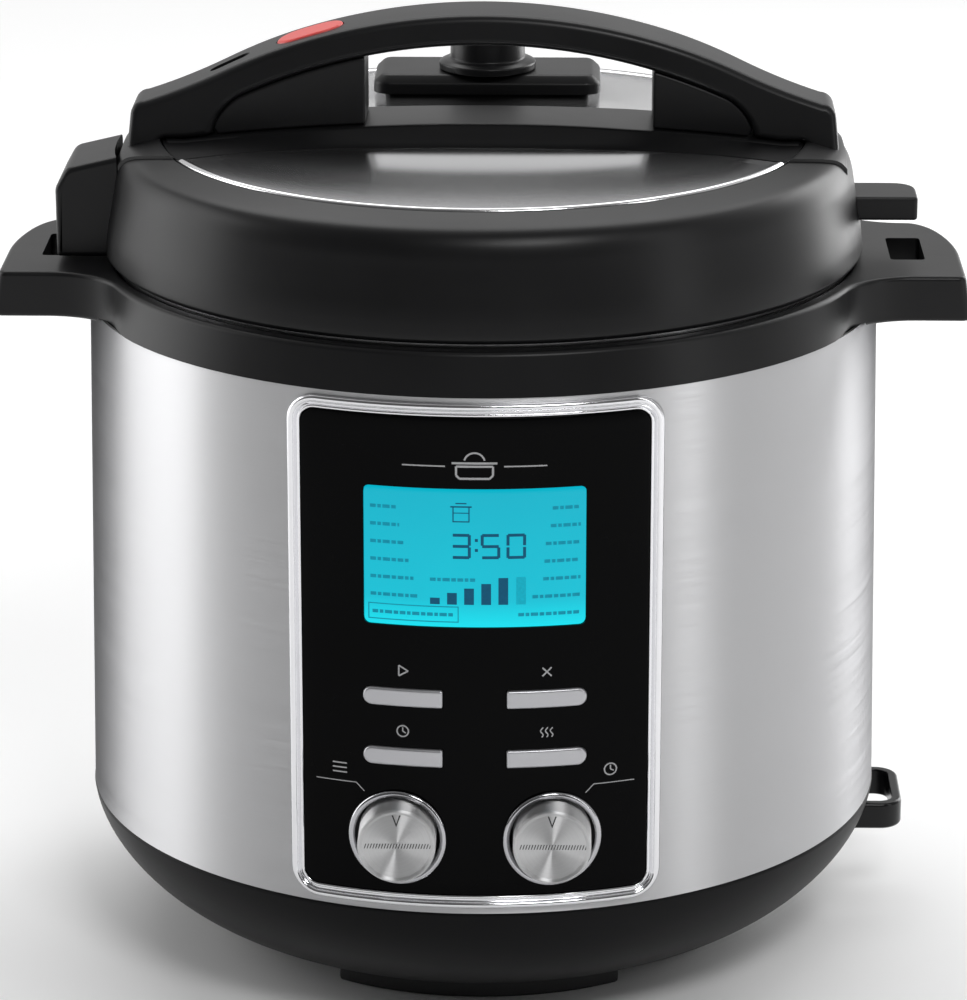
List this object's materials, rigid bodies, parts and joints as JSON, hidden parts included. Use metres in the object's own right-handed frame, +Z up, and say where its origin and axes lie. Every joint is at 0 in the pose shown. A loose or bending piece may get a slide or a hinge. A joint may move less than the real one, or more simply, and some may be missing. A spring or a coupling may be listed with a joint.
{
  "type": "electric pressure cooker",
  "caption": "Countertop pressure cooker with a twist-lock lid, removable pot, lit display, dial knobs, push buttons, steam release and float valve.",
  "frame": {"origin": "centre of the base at the underside of the rubber feet", "axes": "+Z up; the control panel faces -Y; the side handles lie along X, with the spoon holder on the +X side"},
  "size_m": [0.337, 0.3, 0.3315],
  "materials": {
    "body_black": "satin",
    "gloss_black": "polished",
    "handle_black": "satin",
    "valve_black": "satin",
    "dark_plastic": "matte",
    "light_plastic": "matte",
    "fascia_black": "polished",
    "display_cyan": "lit",
    "housing_steel": "brushed around the body",
    "lid_steel": "satin",
    "knob_steel": "turned",
    "pot_steel": "satin",
    "screw_steel": "plain",
    "bright_trim": "polished",
    "button_silver": "satin silver",
    "outer_pot_aluminium": "drawn",
    "plate_aluminium": "turned",
    "zinc_grey": "zinc plated",
    "foot_rubber": "matte",
    "silicone_white": "translucent white",
    "board_green": "solder mask",
    "release_coral": "satin",
    "float_red": "satin",
    "cup_clear": "clear"
  },
  "bodies": {
    "base": {"base_shell": "body_black", "bottom_cover": "dark_plastic", "feet": "foot_rubber", "base_screws": "screw_steel", "steel_housing": "housing_steel", "collar": "body_black", "collar_screws": "screw_steel", "spoon_holder": "gloss_black", "panel_frame": "bright_trim", "fascia": "fascia_black", "panel_carrier": "dark_plastic", "display_window": "display_cyan", "display_module": "light_plastic", "control_board": "board_green", "tact_switches": "dark_plastic", "dial_bezels": "bright_trim", "dial_encoders": "zinc_grey", "outer_pot": "outer_pot_aluminium", "heating_plate": "plate_aluminium", "heating_element": "zinc_grey", "plate_posts": "zinc_grey", "spring_plate": "zinc_grey", "pressure_switch": "light_plastic", "power_board": "board_green", "power_inlet": "dark_plastic", "sensor_spring": "screw_steel", "cup_bracket": "body_black"},
    "start_button": {"start_button": "button_silver"},
    "delay_button": {"delay_button": "button_silver"},
    "cancel_button": {"cancel_button": "button_silver"},
    "warm_button": {"warm_button": "button_silver"},
    "menu_knob": {"menu_knob": "knob_steel"},
    "timer_knob": {"timer_knob": "knob_steel"},
    "thermal_sensor": {"thermal_sensor": "plate_aluminium"},
    "inner_pot": {"inner_pot": "pot_steel"},
    "condensation_cup": {"condensation_cup": "cup_clear"},
    "sealing_ring": {"sealing_ring": "silicone_white"},
    "lid": {"seal_rack": "bright_trim", "inner_lid": "pot_steel", "lid_posts": "dark_plastic", "lid_screws": "screw_steel", "lid_cover": "body_black", "lid_plate": "lid_steel", "lid_bridge": "gloss_black", "lid_handle": "handle_black", "leg_cover_left": "handle_black", "leg_cover_right": "handle_black", "valve_housing": "handle_black", "exhaust_pipe": "pot_steel", "anti_block_cap": "pot_steel", "lever_bracket": "zinc_grey", "release_spring": "screw_steel"},
    "release_button": {"release_button": "release_coral"},
    "release_lever": {"release_lever": "zinc_grey"},
    "pressure_valve": {"pressure_valve": "valve_black"},
    "float_valve": {"float_valve": "float_red", "float_seal": "silicone_white"}
  },
  "joints": [
    {"name": "start_press", "type": "slide", "parent": "base", "child": "start_button", "axis": [0, 1, 0], "range_m": [0, 0.001], "stiffness_N_per_m": 600},
    {"name": "delay_press", "type": "slide", "parent": "base", "child": "delay_button", "axis": [0, 1, 0], "range_m": [0, 0.001], "stiffness_N_per_m": 600},
    {"name": "cancel_press", "type": "slide", "parent": "base", "child": "cancel_button", "axis": [0, 1, 0], "range_m": [0, 0.001], "stiffness_N_per_m": 600},
    {"name": "warm_press", "type": "slide", "parent": "base", "child": "warm_button", "axis": [0, 1, 0], "range_m": [0, 0.001], "stiffness_N_per_m": 600},
    {"name": "menu_turn", "type": "hinge", "parent": "base", "child": "menu_knob", "pos_m": [-0.0258, -0.14, 0.0798], "axis": [0, -1, 0], "continuous": true},
    {"name": "timer_turn", "type": "hinge", "parent": "base", "child": "timer_knob", "pos_m": [0.0258, -0.14, 0.0798], "axis": [0, -1, 0], "continuous": true},
    {"name": "sensor_press", "type": "slide", "parent": "base", "child": "thermal_sensor", "axis": [0, 0, -1], "range_m": [0, 0.002], "stiffness_N_per_m": 400, "springref_m": -0.004, "deforming": ["sensor_spring"]},
    {"name": "cup_slide", "type": "slide", "parent": "base", "child": "condensation_cup", "axis": [0, 0, -1], "range_m": [0, 0.04]},
    {"name": "pot_lift", "type": "slide", "parent": "base", "child": "inner_pot", "axis": [0, 0, 1], "range_m": [0, 0.2]},
    {"name": "lid_lift", "type": "slide", "parent": "inner_pot", "child": "sealing_ring", "axis": [0, 0, 1], "range_m": [0, 0.15]},
    {"name": "lid_turn", "type": "hinge", "parent": "sealing_ring", "child": "lid", "pos_m": [0, 0, 0.25], "axis": [0, 0, 1], "range_deg": [0, 30]},
    {"name": "release_press", "type": "slide", "parent": "lid", "child": "release_button", "axis": [0, 0, -1], "range_m": [0, 0.0025], "stiffness_N_per_m": 800, "springref_m": -0.001, "deforming": ["release_spring"]},
    {"name": "release_rock", "type": "hinge", "parent": "lid", "child": "release_lever", "pos_m": [-0.03, 0.036, 0.2736], "axis": [0.7682, -0.6402, 0], "range_deg": [0, 3.1]},
    {"name": "valve_lift", "type": "slide", "parent": "lid", "child": "pressure_valve", "axis": [0, 0, 1], "range_m": [0, 0.0026]},
    {"name": "float_rise", "type": "slide", "parent": "lid", "child": "float_valve", "axis": [0, 0, 1], "range_m": [0, 0.004]}
  ],
  "couplings": [
    {"joint": "release_rock", "follows": "release_press", "rad_per_m": 21.34},
    {"joint": "valve_lift", "follows": "release_press", "ratio": 1}
  ]
}
